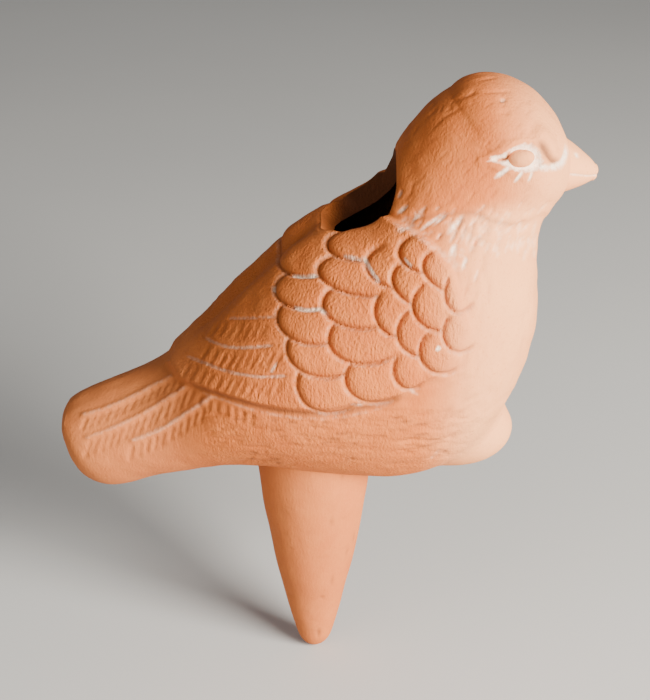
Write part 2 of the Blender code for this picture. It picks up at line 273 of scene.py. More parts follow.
def carve_coverts(clay):
    """Pillow-shaped feathers, each with a groove cut round its free edge."""
    for x, q, half_length, half_height, lean in COVERTS:
        lean = math.radians(lean)
        dx, dq = clay.x - x, clay.q - q
        along = dx * math.cos(lean) + dq * math.sin(lean)
        across = dq * math.cos(lean) - dx * math.sin(lean)
        ratio = np.hypot(along / half_length, across / half_height) + 1e-6
        slope = np.hypot(along / half_length ** 2, across / half_height ** 2) / ratio + 1e-6
        inside = (1 - ratio) / slope
        facing = (dx * math.cos(FREE_EDGE) + dq * math.sin(FREE_EDGE)) / (np.hypot(dx, dq) + 1e-6)
        free = smooth_step((facing + 0.3) / 0.6)
        crown = COVERT_RISE * (0.72 + 0.28 * np.clip(facing * ratio, -1, 1))
        rounding = 1 - np.exp(-np.maximum(inside, 0) / 0.75)
        rounded_edge = -GROOVE_DEPTH + (crown + GROOVE_DEPTH) * rounding
        soft_root = clay.height + (crown - clay.height) * smooth_step(inside / 2.5)
        within = free * rounded_edge + (1 - free) * soft_root
        outside = clay.height - (GROOVE_DEPTH + clay.height) * free * np.exp(-((inside / 0.5) ** 2))
        clay.height = np.where(inside > 0, within, outside)
        hidden = smooth_step((inside + 0.1) / 0.4)
        clay.white = np.maximum(clay.white * (1 - hidden),
                                COVERT_CRUST * free * np.exp(-(((inside + 0.5) / 0.42) ** 2)))
        # Painted shade in the groove round each feather's free edge
        clay.dark = np.maximum(clay.dark * (1 - hidden),
                               COVERT_SHADE * free * np.exp(-(((inside - 0.05) / 0.38) ** 2)))


WING_LINES = (                  # the grooves between the long flight feathers
    ((-19.2, 32.6), (-13.6, 32.5), (-7.5, 32.6)),
    ((-25.0, 28.8), (-19.8, 26.6), (-16.1, 26.1), (-12.3, 26.2), (-7.5, 26.7)),
    ((-29.4, 24.7), (-23.6, 22.7), (-20.1, 21.4), (-15.6, 20.4), (-10.8, 19.8), (-4.2, 20.2)),
)
LOWER_EDGE = (                  # the groove along the wing's lower edge
    (-30.1, 19.3), (-25.9, 17.7), (-20.1, 15.8), (-15.6, 14.4), (-11.3, 13.1), (-5.9, 12.1),
    (3.7, 11.7), (12.1, 13.3), (20.6, 15.6),
)
TAIL_LINES = (                  # the tail's quills
    ((-53.5, 10.6), (-48.3, 12.0), (-42.5, 14.3), (-36.8, 17.2), (-30.6, 20.2)),
    ((-52.3, 5.4), (-45.7, 7.8), (-38.8, 11.0), (-33.0, 14.4), (-27.1, 18.1)),
    ((-41.6, 4.9), (-37.6, 6.4), (-32.9, 8.5), (-28.2, 11.5), (-23.6, 14.4), (-21.5, 16.0)),
)
# Barbs under these lines: first x, last x, spacing, length, angle, gap, width and depth
WING_BARBS = (
    (-22.5, -8.0, 1.9, 4.6, 58, 0.9, 0.55, 0.24),
    (-22.5, -6.0, 1.85, 5.2, 60, 0.7, 0.55, 0.28),
    (-27.0, -5.5, 1.9, 4.6, 60, 0.9, 0.55, 0.25),
)
TAIL_BARBS = (
    (-51.0, -28.5, 1.85, 4.2, 64, 0.5, 0.52, 0.24),
    (-50.0, -25.0, 1.85, 5.6, 67, 0.5, 0.52, 0.27),
    (-40.5, -22.5, 1.8, 4.8, 77, 0.6, 0.50, 0.27),
)
LOWER_BARBS = (-24.5, -13.0, 1.9, 4.2, 83, 1.1, 0.56, 0.24)


def carve_long_feathers(clay, chance):
    """The flight feathers and the tail, with their barbs."""
    for line, white in zip(WING_LINES, (0.22, 0.28, 0.28)):
        line = line_points(line)
        clay.groove(line + (0.0, 0.9), 0.6, -0.16, taper=0.12)
        clay.groove(line, 0.42, 0.34, white=white, taper=0.12)
    for line, barbs in zip(WING_LINES, WING_BARBS):
        clay.barbs(chance, line, *barbs)
    # Painted shadow under the wing's lower edge
    clay.groove(line_points(LOWER_EDGE), 0.6, 0.5, dark=0.6, taper=0.12)
    clay.groove(line_points(LOWER_EDGE) - (0.0, 0.9), 0.5, 0.1, white=0.13, taper=0.2)
    for line, white in zip(TAIL_LINES, (0.15, 0.15, 0.20)):
        line = line_points(line)
        clay.groove(line, 0.62, -0.30, white=white, taper=0.06)
        clay.groove(line - (0.0, 1.1), 0.6, 0.08, taper=0.06)
    for line, barbs in zip((*TAIL_LINES, LOWER_EDGE), (*TAIL_BARBS, LOWER_BARBS)):
        clay.barbs(chance, line, *barbs)


# The eye's lids and long corner, the lore from it to the beak, and the brow over it
UPPER_LID = (
    (35.2, 64.3), (37.3, 65.1), (39.5, 66.3), (41.2, 67.4), (42.9, 67.9), (44.6, 67.9),
    (45.9, 67.3), (46.8, 66.3), (47.3, 65.2), (47.8, 64.2),
)
LOWER_LID = (
    (47.8, 64.2), (47.2, 63.0), (45.9, 62.4), (44.6, 62.0), (42.9, 62.1), (41.2, 62.5),
    (40.1, 63.2), (38.0, 63.8), (35.2, 64.3),
)
LORE = (
    (44.6, 63.2), (46.6, 63.4), (48.8, 63.4), (51.3, 64.1), (52.5, 65.5), (53.2, 67.5), (53.0, 69.6),
)
BROW = ((45.2, 69.0), (46.9, 67.6), (48.2, 65.9), (49.6, 64.9), (51.0, 65.0), (52.0, 66.0))
BROW_RIDGE = ((44.5, 70.8), (47.3, 69.4), (49.5, 67.2), (51.5, 67.0))
EYE_STREAKS = (                 # two ends and width
    ((41.4, 63.9), (37.0, 60.6), 0.42), ((43.7, 63.0), (41.2, 59.8), 0.28),
    ((45.4, 63.0), (44.2, 60.1), 0.26), ((39.4, 65.5), (36.0, 65.0), 0.3),
)
SOCKET_DEPTH = 1.0
LID_RISE = 0.22
EYE_CORNER = ((38.4, 64.5), (39.9, 64.7), (40.4, 65.9))
HEAD_CUTS = (                   # two ends, width, white
    ((30.3, 77.6), (35.5, 79.5), 0.5, 0.35), ((27.7, 74.1), (32.7, 76.5), 0.45, 0.3),
    ((35.3, 82.1), (39.6, 82.9), 0.4, 0.3), ((35.9, 78.8), (42.2, 79.4), 0.45, 0.25),
    ((28.3, 75.4), (29.8, 76.2), 0.45, 0.2), ((35.7, 69.6), (39.3, 68.0), 0.5, 0.2),
    ((34.1, 66.9), (37.5, 66.2), 0.5, 0.25), ((35.9, 68.1), (38.5, 67.2), 0.4, 0.2),
    ((44.4, 71.2), (46.3, 67.8), 0.7, 0.0), ((48.0, 78.8), (51.0, 73.7), 0.6, 0.3),
    ((38.7, 74.7), (41.1, 73.8), 0.6, 0.0),
)
# The head stands a step out from the neck above this line
NECK_LINE = (
    (16.0, 54.2), (20.3, 53.4), (26.4, 54.0), (32.6, 54.3), (37.2, 52.7), (42.4, 52.2), (48.0, 54.5),
)
NECK_STEP = 0.4
SHOULDER = ((15.4, 52.4), (19.6, 50.9), (23.9, 47.7), (28.2, 44.3), (32.0, 40.9))
NECK_CUTS = (
    ((17.9, 57.3), (19.0, 59.2), 0.45, 0.5), ((17.7, 53.9), (20.1, 55.8), 0.5, 0.8),
    ((20.1, 51.8), (23.8, 55.4), 0.5, 0.7), ((22.3, 50.3), (26.8, 53.7), 0.5, 0.9),
    ((24.9, 51.2), (28.2, 54.0), 0.45, 0.7), ((28.0, 49.5), (31.3, 53.3), 0.85, 1.0),
    ((28.3, 44.8), (29.7, 47.5), 0.7, 1.0), ((31.0, 42.1), (32.0, 45.0), 0.6, 0.8),
    ((32.0, 50.8), (34.3, 52.7), 0.6, 0.5), ((34.8, 46.9), (36.2, 48.6), 0.7, 0.35),
    ((33.6, 39.5), (34.8, 42.6), 0.6, 0.4), ((25.8, 48.3), (26.6, 49.8), 0.45, 0.6),
    ((40.3, 45.3), (41.6, 48.6), 0.7, 0.3), ((43.8, 46.7), (45.5, 49.3), 0.6, 0.3),
    ((40.0, 49.4), (42.4, 51.9), 0.5, 0.4), ((43.7, 50.0), (45.9, 52.6), 0.5, 0.4),
    ((46.7, 54.2), (49.7, 57.2), 0.45, 0.3), ((42.4, 55.1), (43.8, 56.8), 0.4, 0.3),
    ((17.2, 50.2), (21.4, 51.6), 0.9, 0.6),
)
# Random strokes: how many, box, length, angle, width, depth, white, and dark painted shade
CROWN_STROKES = (90, (20, 55, 45, 80), (1.5, 4.5), (35, 60), 0.3, 0.09, 0.0, 0.15)
BREAST_STROKES = (
    (60, (18, 48, 48, 55), (2.0, 4.6), (42, 60), 0.40, 0.2, 0.16, 0.0),
    (36, (29, 45, 49, 52), (3.0, 6.0), (60, 78), 0.6, 0.24, 0.24, 0.0),
    (90, (31, 14, 52, 47), (4.0, 10.0), (68, 90), 0.7, 0.15, 0.06, 0.0),
    (40, (25, 3, 44, 16), (3.0, 8.0), (30, 60), 0.6, 0.13, 0.0, 0.0),
)
FLANK_STROKES = (
    (240, (-24, 0, 33, 13), (3.0, 10.0), (-5, 9), 0.36, 0.12, 0.0, 0.06),
    (26, (-20, 0, 28, 11), (2.0, 6.0), (-8, 8), 0.30, 0.12, 0.0, 0.5),
    (26, (18, 8, 34, 20), (3.0, 8.0), (10, 38), 0.5, 0.14, 0.0, 0.08),
)
FLANK_PITS = 26


def carve_head(clay, chance):
    """The eye's socket and lids, the brow, the groove to the beak, and strokes on the head."""
    socket = np.vstack([line_points(UPPER_LID), line_points(LOWER_LID)])
    inside = depth_inside(clay.x, clay.q, [tuple(point) for point in socket])
    inside = inside + 0.16 * unevenness(clay.place, 1.6, 6)
    clay.height -= SOCKET_DEPTH * smooth_step(inside + 0.1)
    clay.height += LID_RISE * np.exp(-(((inside + 0.8) / 0.6) ** 2))
    clay.white = np.maximum(clay.white, smooth_step((inside + 0.15) / 0.7))
    clay.groove(line_points(BROW_RIDGE), 2.1, -0.9, taper=0.3)
    # Painted shadow in the groove under the brow
    clay.groove(line_points(BROW), 0.65, 0.6, dark=1.0, taper=0.3)
    clay.groove(line_points(LORE), 0.6, 0.45, white=0.95, taper=0.2)
    for start, end, width in EYE_STREAKS:
        clay.groove((start, end), width, 0.2, white=0.85, taper=0.4)
    away, _ = distance_to_line(clay.x, clay.q, line_points(EYE_CORNER))
    clay.white *= 1 - np.exp(-((away / 0.5) ** 2))
    # Painted shade in the eye's corner crevice
    clay.groove(line_points(EYE_CORNER), 0.42, 0.45, dark=1.0)
    for start, end, width, white in HEAD_CUTS:
        start, end = np.array(start), np.array(end)
        clay.groove((start - 0.3 * (end - start), end), 0.9 * width, 0.2, white=0.25 * white, taper=0.4)
    clay.pit(39.4, 77.2, 0.5, 0.5, white=0.4, dark=0.0)
    # Painted shade in this pit
    clay.pit(38.9, 76.9, 0.35, 0.2, dark=0.9)
    above = np.interp(clay.x, *line_points(NECK_LINE).T)
    clay.height += NECK_STEP * smooth_step((clay.q - above) / 1.6 + 0.5) * (clay.x > 12)
    # Painted shade under the head's step
    clay.groove(line_points(NECK_LINE) - (0.0, 0.5), 0.5, 0.15, dark=0.3, taper=0.2)
    clay.strokes(chance, *CROWN_STROKES)


def off_wing(gap):
    """A test of whether a place lies further than a gap outside the wing."""
    return lambda x, q: depth_inside(np.array([x]), np.array([q]), WING_OUTLINE)[0] < -gap


def carve_neck_and_breast(clay, chance):
    """The collar's cuts from shoulder to throat, and the strokes down the breast."""
    clay.groove(line_points(SHOULDER), 1.1, -0.25, white=0.16, taper=0.15)
    for start, end, width, white in NECK_CUTS:
        start, end = np.array(start), np.array(end)
        more = 0.2 * (end - start)
        clay.groove((start - more, end + more), 0.75 * width, 0.3, white=0.75 * white, taper=0.45)
    for strokes in BREAST_STROKES:
        clay.strokes(chance, *strokes, keep=off_wing(0.5))


def carve_flank(clay, chance):
    """Dragged scratches and pits between the wing and the belly."""
    # Scratches and pits darkened with painted shade
    for strokes in FLANK_STROKES:
        clay.strokes(chance, *strokes, keep=off_wing(0.6))
    for _ in range(FLANK_PITS):
        x, q = chance.uniform(-20, 32), chance.uniform(0, 12)
        clay.pit(x, q, chance.uniform(0.25, 0.4), chance.uniform(0.1, 0.25), dark=0.35)
    clay.groove(((25.6, 0.9), (28.4, 3.9)), 0.5, 0.22, white=0.15)
    clay.pit(29.1, 2.9, 0.4, 0.35, dark=0.9)


def carve(place, on_back):
    """All of the relief at places on the body's plain form, the white crust, and the painted shade in
    the grooves.
    """
    chance = np.random.default_rng(12)
    clay = Carving(place)
    base = carve_wing(clay, on_back)
    carve_coverts(clay)
    for line, width, white in CRUST_LINES:
        clay.groove(line_points(line), width, 0.0, white=white)
    carve_long_feathers(clay, chance)
    carve_head(clay, chance)
    carve_neck_and_breast(clay, chance)
    carve_flank(clay, chance)
    clay.height += base + sum(height * unevenness(place, size, seed) for height, size, seed in LUMPS)
    return clay


def spline_ribs(where):
    """Ribs at places counted from the tail's end, on the cubic B-spline that the ribs guide."""
    guide = np.vstack([2 * RIBS[0] - RIBS[1], RIBS, 2 * RIBS[-1] - RIBS[-2]])
    i = np.minimum(where.astype(int), len(RIBS) - 2)
    t = (where - i)[:, None]
    return (guide[i] * (1 - t) ** 3 + guide[i + 1] * (3 * t ** 3 - 6 * t * t + 4)
            + guide[i + 2] * (-3 * t ** 3 + 3 * t * t + 3 * t + 1) + guide[i + 3] * t ** 3) / 6


def rounded_end(rib, pole, count, flat=False):
    """Ribs that shrink from an end rib to the pole, as on a dome, or on a flatter cap."""
    back, belly, half_width = rib[0:2], rib[2:4], rib[4]
    centre, reach = (back + belly) / 2, (back - belly) / 2
    ribs = []
    for angle in np.radians(np.linspace(0, 88, count + 1))[1:]:
        share = math.cos(angle)
        rise = 1 - share * share if flat else math.sin(angle)
        middle, half = centre + (pole - centre) * rise, reach * share
        ribs.append((*(middle + half), *(middle - half), half_width * share))
    return np.array(ribs)


def surface_ribs(inset, where, tail_count, crown_count):
    """Ribs at the given places from the tail's end on, and round both ends, moved in by inset."""
    ribs = spline_ribs(where)
    inward = ribs[:, 2:4] - ribs[:, 0:2]
    inward *= inset / np.linalg.norm(inward, axis=1)[:, None]
    ribs = np.hstack([ribs[:, 0:2] + inward, ribs[:, 2:4] - inward, ribs[:, 4:5] - inset])
    back, belly = ribs[-1, 0:2], ribs[-1, 2:4]
    up = np.array((belly[1] - back[1], back[0] - belly[0])) / np.linalg.norm(back - belly)
    up *= np.sign(up[1])
    crown_pole = (back + belly) / 2 + up * (CROWN_RISE - inset)
    crown_pole += (back - belly) / np.linalg.norm(back - belly) * CROWN_LEAN
    tail_pole = (ribs[0, 0:2] + ribs[0, 2:4]) / 2 - (1.5, 0.0) if where[0] else TAIL_END
    tail = rounded_end(ribs[0], tail_pole, tail_count, flat=True)[::-1]
    crown = rounded_end(ribs[-1], crown_pole, crown_count)
    return np.vstack([tail, ribs, crown])


def skin_places(ribs, facets):
    """Places on the right side's plain form, in rows from back to belly, and the normals there."""
    turn = np.linspace(0, 1, facets + 1)
    angle = math.pi * turn + SIDE_CROWDING / 2 * np.sin(2 * math.pi * turn)
    back, belly = ribs[:, 0:2], ribs[:, 2:4]
    middle = np.insert((back + belly) / 2, 1, 0.0, axis=1)
    reach = np.insert((back - belly) / 2, 1, 0.0, axis=1)
    place = middle[:, None] + reach[:, None] * np.cos(angle)[None, :, None]
    place[..., 1] = -ribs[:, 4][:, None] * np.sin(angle)[None]
    place[:, (0, -1), 1] = 0.0
    normal = np.cross(np.gradient(place, axis=1), np.gradient(place, axis=0))
    normal[:, (0, -1), 1] = 0.0
    normal /= np.linalg.norm(normal, axis=-1, keepdims=True) + 1e-12
    outward = np.sum(normal * (place - middle[:, None]), axis=-1).mean()
    return place, normal * np.sign(outward)


# The filling opening behind the neck, cut with the same tapered plug as the CAD body
OPENING_CENTRE = np.array((11.0, 0.0, 66.0))
OPENING_SLOPE = math.radians(38)
OPENING_OUTLINE = ((-11.3, 0.0), (-11.0, 8.0), (2.4, 15.8), (8.0, 12.2), (10.2, 5.2), (10.6, 0.0))
OPENING_CONE = 60.0
OPENING_REACH = 14.0
RIM_ROUNDING = 0.30             # at the rim itself
RIM_SOFTENING = 0.15            # and in a wider band round it
BELLY_HOLE_RADIUS = 8.2         # where the body opens into the spike
BELLY_HOLE_ENDS = (-9.0, 2.5 * WALL)
CUT_TOLERANCE = 0.03
# Painted shade inside the hollow body: the cavity's wall and the opening's cut are darkened
CAVITY_DARK = 1.15
OUTSIDE_DARK = 0.95             # nothing outside is as dark as the cavity wall's painted shade
CUT_STATE = (0.0, 0.10, 0.6, 0.0)
MIDDLE_CUT_STATE = (0.0, 1.05, 0.6, 0.0)
INNER_CUT_STATE = (0.0, 1.15, 0.6, 0.0)
SHADED_CUT = 0.9                # how much deeper the painted shade on the cut is towards the neck


def rounded_line(points, rounds=3):
    for _ in range(rounds):
        line = [points[0]]
        for (ax, ay), (bx, by) in zip(points, points[1:]):
            line += [(ax * 0.75 + bx * 0.25, ay * 0.75 + by * 0.25),
                     (ax * 0.25 + bx * 0.75, ay * 0.25 + by * 0.75)]
        points = line + [points[-1]]
    return points


def opening_outline():
    half = rounded_line(OPENING_OUTLINE)
    return half + [(along, -across) for along, across in reversed(half[1:-1])]


def opening_depth(place):
    """How far inside the opening's cut each place lies, in mm, and negative outside it."""
    offset = place - OPENING_CENTRE
    along = offset[..., 0] * math.cos(OPENING_SLOPE) + offset[..., 2] * math.sin(OPENING_SLOPE)
    height = offset[..., 2] * math.cos(OPENING_SLOPE) - offset[..., 0] * math.sin(OPENING_SLOPE)
    scale = np.maximum(1 + height / OPENING_CONE, 0.2)
    depth = depth_inside(along / scale, offset[..., 1] / scale, opening_outline()) * scale
    return np.where(np.abs(height) < OPENING_REACH, depth, -OPENING_REACH)


# The foot, a lump of clay smoothed on to the breast
FOOT_CENTRE = np.array((35.5, 0.0, 7.8))
FOOT_SIZE = np.array((10.5, 8.8, 7.5))
FOOT_PITCH = math.radians(-12)
FOOT_BLEND = 8.0
FOOT_START = 1.0                # the foot's own clay starts where it stands this far off the body
FOOT_FEATHERING = 0.3           # and is this much thinner at that edge
FOOT_SHELL = 1.6                # how thick it is
SKIN_UNDER_FOOT = 1.1           # how far the body's skin sinks beneath it


def foot_distance(place):
    offset = place - FOOT_CENTRE
    c, s = math.cos(FOOT_PITCH), math.sin(FOOT_PITCH)
    local = np.stack([offset[..., 0] * c - offset[..., 2] * s, offset[..., 1],
                      offset[..., 0] * s + offset[..., 2] * c], -1)
    ratio = np.linalg.norm(local / FOOT_SIZE, axis=-1)
    return ratio * (ratio - 1) / (np.linalg.norm(local / FOOT_SIZE ** 2, axis=-1) + 1e-9)


def foot_rise(place, normal):
    """How far the blended foot stands off the body's plain form, along the form's normal."""
    rise = np.zeros(place.shape[:-1])
    for _ in range(24):
        foot = foot_distance(place + normal * rise[..., None])
        overlap = np.maximum(FOOT_BLEND - np.abs(rise - foot), 0.0) / FOOT_BLEND
        rise -= np.minimum(rise, foot) - overlap ** 3 * FOOT_BLEND / 6
    return np.maximum(rise, 0.0)


def grid_faces(rows, columns, first=0):
    a = (np.arange(rows - 1)[:, None] * columns + np.arange(columns - 1)[None]).ravel() + first
    return np.stack([a, a + 1, a + columns + 1, a + columns], -1).tolist()


def end_faces(row_start, columns, pole, flip):
    faces = [(row_start + i, row_start + i + 1, pole) for i in range(columns - 1)]
    return [face[::-1] for face in faces] if flip else faces


def tint(mesh, white, dark, grain, bloom_and_highlight):
    """Stores with the points: white crust, painted shade in the hollows, the clay's coarseness, and its
    pale bloom, which is partly painted highlight.
    """
    layer = mesh.color_attributes.new("clay_state", "FLOAT_COLOR", "POINT")
    values = np.stack([white, dark, grain, bloom_and_highlight], -1)
    layer.data.foreach_set("color", np.clip(values, 0, 1).astype(np.float32).ravel())


def plain_state(count, grain=0.5, bloom_and_highlight=0.0):
    return np.zeros(count), np.zeros(count), np.full(count, grain), np.full(count, bloom_and_highlight)


def linked(name, data):
    """A new object in the scene."""
    thing = bpy.data.objects.new(name, data)
    bpy.context.scene.collection.objects.link(thing)
    return thing


def new_object(name, points, faces, state):
    """An object from points in millimetres."""
    mesh = bpy.data.meshes.new(name)
    mesh.from_pydata((np.asarray(points) * MM).tolist(), [], faces)
    tint(mesh, *state)
    return linked(name, mesh)


@contextmanager
def edited(mesh):
    """The mesh as a bmesh, which is written back to it afterwards."""
    shape = bmesh.new()
    shape.from_mesh(mesh)
    yield shape
    shape.to_mesh(mesh)
    shape.free()


def fix_normals(mesh):
    with edited(mesh) as shape:
        bmesh.ops.recalc_face_normals(shape, faces=shape.faces)


def values_of(items, name, width, kind=np.float32):
    """One property of all of a mesh's items, as rows of the given width."""
    values = np.empty(len(items) * width, kind)
    items.foreach_get(name, values)
    return values.reshape(-1, width)


class Skin:
    """The right side's outer skin on its fine grid, carved, with the foot's blend kept apart."""

    def __init__(self):
        where = np.concatenate([rib + np.arange(rings) / rings for rib, rings in enumerate(RINGS)])
        ribs = surface_ribs(0.0, np.append(where, len(RINGS)), TAIL_END_RINGS, CROWN_RINGS)
        plain, normal = skin_places(ribs, FACETS)
        on_back = np.broadcast_to(np.arange(FACETS + 1) < FACETS / 2, plain.shape[:2])
        base = carve_wing(Carving(plain), on_back)
        clay = carve(plain + normal * base[..., None], on_back)
        self.foot = foot_rise(plain, normal)
        clear = smooth_step(1 - self.foot / 1.5)
        lift = clay.height * (0.25 + 0.75 * clear)
        rim = opening_depth(plain + normal * lift[..., None])
        lift -= RIM_ROUNDING * np.exp(-((rim / 0.6) ** 2)) + RIM_SOFTENING * np.exp(-((rim / 1.6) ** 2))
        sunk = SKIN_UNDER_FOOT * smooth_step((self.foot - FOOT_START - 0.3) / 1.5)
        self.points = plain + normal * (lift + self.foot - sunk)[..., None]
        feathered = FOOT_FEATHERING * smooth_step((FOOT_START + 0.6 - self.foot) / 0.6)
        self.foot_points = plain + normal * (lift + self.foot - feathered)[..., None]
        self.foot_floor = plain + normal * (self.foot - FOOT_SHELL)[..., None]
        for points in (self.points, self.foot_points, self.foot_floor):
            points[:, (0, -1), 1] = 0.0
        wing = smooth_step(depth_inside(clay.x, clay.q, WING_OUTLINE) / 1.5 + 0.5)
        # Painted shade in the grooves, kept lighter than the cavity's
        self.white, self.dark = clay.white * clear, np.minimum(clay.dark * clear, OUTSIDE_DARK)
        flank = smooth_step((14 - clay.q) / 3) * smooth_step((clay.x + 26) / 6)
        grain = 0.25 + 0.75 * wing + 0.12 * (clay.q > 55) + 0.35 * flank - 0.6 * (1 - clear)
        self.grain = np.clip(grain, 0.1, 1)
        # Pale bloom, partly painted highlight: it rises towards the lit breast and face, with a trace
        # on the tail
        start = BLOOM_AND_HIGHLIGHT_START + BLOOM_AND_HIGHLIGHT_LEAN * smooth_step((clay.q - 51) / 7)
        trace = TAIL_BLOOM_AND_HIGHLIGHT * smooth_step((TAIL_BLOOM_AND_HIGHLIGHT_START - clay.x) / BLOOM_AND_HIGHLIGHT_REACH)
        self.bloom_and_highlight = smooth_step((clay.x - start) / BLOOM_AND_HIGHLIGHT_REACH) + trace


def half_shell(skin):
    """The right half of the hollow body, a closed solid that ends at the bird's mid-plane."""
    rows, columns, _ = skin.points.shape
    cavity = surface_ribs(WALL, np.linspace(CAVITY_START, len(RIBS) - 1, CAVITY_RINGS), 5, 8)
    inner, _ = skin_places(cavity, CAVITY_FACETS)
    inner_rows, inner_columns, _ = inner.shape
    points = [skin.points.reshape(-1, 3), skin.points[0].mean(0)[None] * (1, 0, 1),
              skin.points[-1].mean(0)[None] * (1, 0, 1), inner.reshape(-1, 3),
              inner[0].mean(0)[None] * (1, 0, 1), inner[-1].mean(0)[None] * (1, 0, 1)]
    count, inner_count = rows * columns, inner_rows * inner_columns
    first_inner = count + 2
    faces = grid_faces(rows, columns)
    faces += end_faces(0, columns, count, True) + end_faces(count - columns, columns, count + 1, False)
    faces += [face[::-1] for face in grid_faces(inner_rows, inner_columns, first_inner)]
    faces += end_faces(first_inner, inner_columns, first_inner + inner_count, False)
    faces += end_faces(first_inner + inner_count - inner_columns, inner_columns,
                       first_inner + inner_count + 1, True)
    # The state of the skin, of the points at its two ends, and of the cavity's wall, which carries
    # painted shade
    layers = ((skin.white, 0.0, 0.0), (skin.dark, 0.0, CAVITY_DARK), (skin.grain, 0.3, 0.6),
              (skin.bloom_and_highlight, TAIL_BLOOM_AND_HIGHLIGHT, 0.0))
    state = [np.concatenate([outer.ravel(), (ends, ends), np.full(inner_count + 2, wall)])
             for outer, ends, wall in layers]
    half = new_object("right_body_half_skin", np.vstack(points), faces, state)
    with edited(half.data) as shape:
        border = [edge for edge in shape.edges if len(edge.link_faces) == 1]
        bmesh.ops.triangle_fill(shape, edges=border, normal=(0.0, 1.0, 0.0))
        bmesh.ops.recalc_face_normals(shape, faces=shape.faces)
    return half


def wrapped_faces(rows, facets, first=0):
    faces = []
    for row in range(rows - 1):
        start = first + row * facets
        faces += [(start + i, start + (i + 1) % facets, start + facets + (i + 1) % facets,
                   start + facets + i) for i in range(facets)]
    return faces


def plug_between(name, points):
    """A closed plug between two outlines of as many points each, one after the other."""
    count = len(points) // 2
    faces = wrapped_faces(2, count) + [tuple(range(count))[::-1], tuple(range(count, 2 * count))]
    plug = new_object(name, points, faces, plain_state(2 * count))
    fix_normals(plug.data)
    return plug


def opening_cutter():
    points = []
    for height in (OPENING_REACH, -OPENING_REACH):
        scale = 1 + height / OPENING_CONE
        points += [(along * scale, across * scale, height) for along, across in opening_outline()]
    plug = plug_between("opening_plug", points)
    plug.location = Vector(OPENING_CENTRE) * MM
    plug.rotation_euler = (0.0, -OPENING_SLOPE, 0.0)
    return plug


def belly_hole_cutter(facets=64):
    angles = np.linspace(0, 2 * math.pi, facets, endpoint=False)
    ring = [(BELLY_HOLE_RADIUS * math.cos(a), BELLY_HOLE_RADIUS * math.sin(a)) for a in angles]
    return plug_between("belly_hole", [(x, y, z) for z in BELLY_HOLE_ENDS for x, y in ring])


def cut_and_apply(thing, cutters):
    """Cuts the cutters out of the object for good, and removes them."""
    for cutter in cutters:
        boolean = thing.modifiers.new(cutter.name, "BOOLEAN")
        boolean.operation = "DIFFERENCE"
        boolean.solver = "EXACT"
        boolean.object = cutter
    graph = bpy.context.evaluated_depsgraph_get()
    mesh = bpy.data.meshes.new_from_object(thing.evaluated_get(graph))
    thing.modifiers.clear()
    thing.data = mesh
    for cutter in cutters:
        bpy.data.objects.remove(cutter, do_unlink=True)
    with edited(mesh) as shape:
        bmesh.ops.triangulate(shape, faces=shape.faces)


def tint_cut_walls(mesh):
    """The knife left plain clay on the opening's walls, with painted shade that deepens towards the
    inside and the neck.
    """
    points = values_of(mesh.vertices, "co", 3) / MM
    on_wall = np.abs(opening_depth(points)) < CUT_TOLERANCE
    layer = mesh.color_attributes["clay_state"]
    values = values_of(layer.data, "color", 4)
    edges = values_of(mesh.edges, "vertices", 2, np.int32)
    ends = np.concatenate([edges, edges[:, ::-1]])
    meets_cavity = ends[~on_wall[ends[:, 1]] & (values[ends[:, 1], 1] > CAVITY_DARK - 0.01), 0]
    inner = np.zeros(len(on_wall), bool)
    inner[meets_cavity] = True
    # Painted shade on the cut: light at the rim, deeper inwards and towards the neck
    values[on_wall] = CUT_STATE
    values[on_wall, 1] += SHADED_CUT * smooth_step((points[on_wall, 0] - 2.5) / 6)
    values[on_wall & inner] = INNER_CUT_STATE
    layer.data.foreach_set("color", values.ravel())
    with edited(mesh) as shape:
        shape.verts.ensure_lookup_table()
        through = [edge for edge in shape.edges
                   if all(on_wall[end.index] for end in edge.verts)
                   and inner[edge.verts[0].index] != inner[edge.verts[1].index]]
        divided = bmesh.ops.subdivide_edges(shape, edges=through, cuts=1)
        state = shape.verts.layers.float_color["clay_state"]
        for part in divided["geom_inner"]:
            if isinstance(part, bmesh.types.BMVert):
                part[state] = MIDDLE_CUT_STATE
        bmesh.ops.triangulate(shape, faces=shape.faces)


def seam_normals(mesh, sharp_degrees=62):
    """Smooth shading whose normals lie in the mid-plane there, so that no seam shows."""
    mesh.shade_smooth()
    mesh.set_sharp_from_angle(angle=math.radians(sharp_degrees))
    normals = values_of(mesh.corner_normals, "vector", 3).astype(float)
    vertex = values_of(mesh.loops, "vertex_index", 1, np.int32).ravel()
    across = values_of(mesh.vertices, "co", 3)[vertex, 1]
    on_seam = (np.abs(across) < 1e-7) & (np.abs(normals[:, 1]) < 0.9)
    normals[on_seam, 1] = 0.0
    normals /= np.linalg.norm(normals, axis=1)[:, None]
    mesh.normals_split_custom_set(normals.tolist())


def mirrored(thing, name):
    """A copy on the bird's other side."""
    mesh = thing.data.copy()
    mesh.name = name
    with edited(mesh) as shape:
        for vertex in shape.verts:
            vertex.co.y = -vertex.co.y
        bmesh.ops.reverse_faces(shape, faces=shape.faces)
    return linked(name, mesh)


